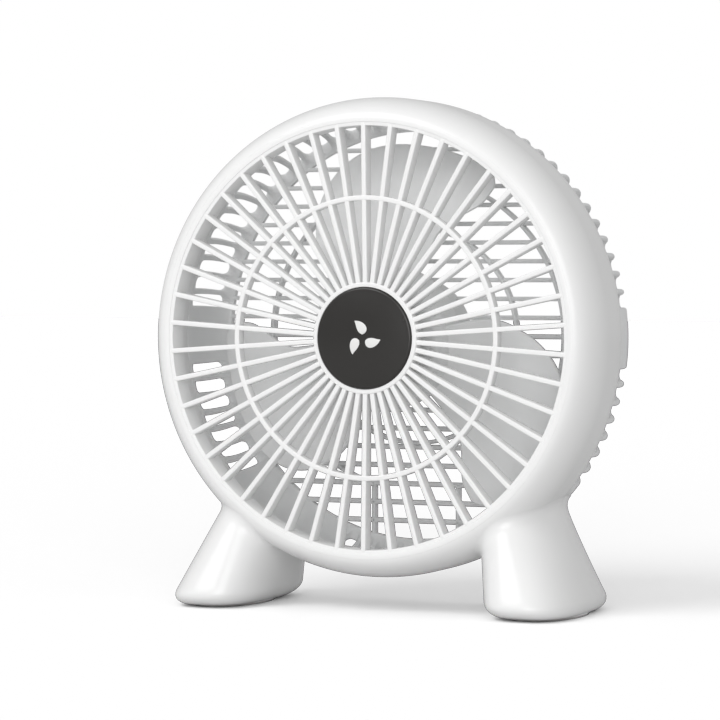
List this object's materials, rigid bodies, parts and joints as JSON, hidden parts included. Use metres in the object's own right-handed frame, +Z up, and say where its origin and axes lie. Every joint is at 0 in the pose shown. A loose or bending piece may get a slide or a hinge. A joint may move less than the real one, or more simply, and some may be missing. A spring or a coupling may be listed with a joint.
{
  "type": "desk fan",
  "caption": "Small white desk fan: a round casing on two splayed feet, with a spoked front grille, a slatted rear cover and a broad-bladed impeller.",
  "frame": {"origin": "on the table, under the middle of the two feet and of the casing's width", "axes": "+Z up; the fan blows towards -Y; +X is the viewer's right when facing the front grille; the fan's axis is parallel to Y"},
  "size_m": [0.16, 0.06, 0.171],
  "materials": {
    "casing_white": "gloss",
    "badge_charcoal": "satin",
    "pad_rubber": "matte",
    "screw_steel": "satin",
    "impeller_plastic": "satin",
    "shaft_steel": "polished",
    "core_steel": "satin",
    "winding_copper": "enamelled",
    "commutator_copper": "satin",
    "washer_plastic": "matte",
    "can_steel": "satin",
    "magnet_black": "matte",
    "end_cap_plastic": "matte",
    "bush_bronze": "sintered",
    "brush_copper": "satin",
    "terminal_brass": "tinned",
    "lead_insulation": "matte",
    "board_green": "solder mask",
    "chip_black": "matte",
    "capacitor_sleeve": "gloss",
    "socket_steel": "bright",
    "socket_black": "matte",
    "switch_black": "matte",
    "switch_white": "matte",
    "button_white": "satin"
  },
  "bodies": {
    "casing": {"front_housing": "casing_white", "front_grille": "casing_white", "badge_disc": "badge_charcoal", "rear_cover": "casing_white", "foot_pads": "pad_rubber", "housing_screws": "screw_steel", "motor_can": "can_steel", "motor_magnets": "magnet_black", "motor_end_cap": "end_cap_plastic", "front_bush": "bush_bronze", "rear_bush": "bush_bronze", "motor_brushes": "brush_copper", "motor_terminals": "terminal_brass", "motor_screws": "screw_steel", "motor_leads": "lead_insulation", "circuit_board": "board_green", "board_screws": "screw_steel", "speed_chip": "chip_black", "smoothing_capacitor": "capacitor_sleeve", "power_socket": "socket_steel", "socket_tongue": "socket_black", "switch_body": "switch_black", "motor_cover": "casing_white", "cover_screws": "screw_steel"},
    "rotor": {"impeller": "impeller_plastic", "motor_shaft": "shaft_steel", "armature_core": "core_steel", "armature_windings": "winding_copper", "commutator": "commutator_copper", "thrust_washers": "washer_plastic"},
    "button": {"power_button": "button_white", "switch_plunger": "switch_white"}
  },
  "joints": [
    {"name": "impeller_spin", "type": "hinge", "parent": "casing", "child": "rotor", "pos_m": [0, 0, 0.091], "axis": [0, 1, 0], "continuous": true},
    {"name": "button_press", "type": "slide", "parent": "casing", "child": "button", "axis": [0, -1, 0], "range_m": [0, 0.0012], "stiffness_N_per_m": 400}
  ]
}
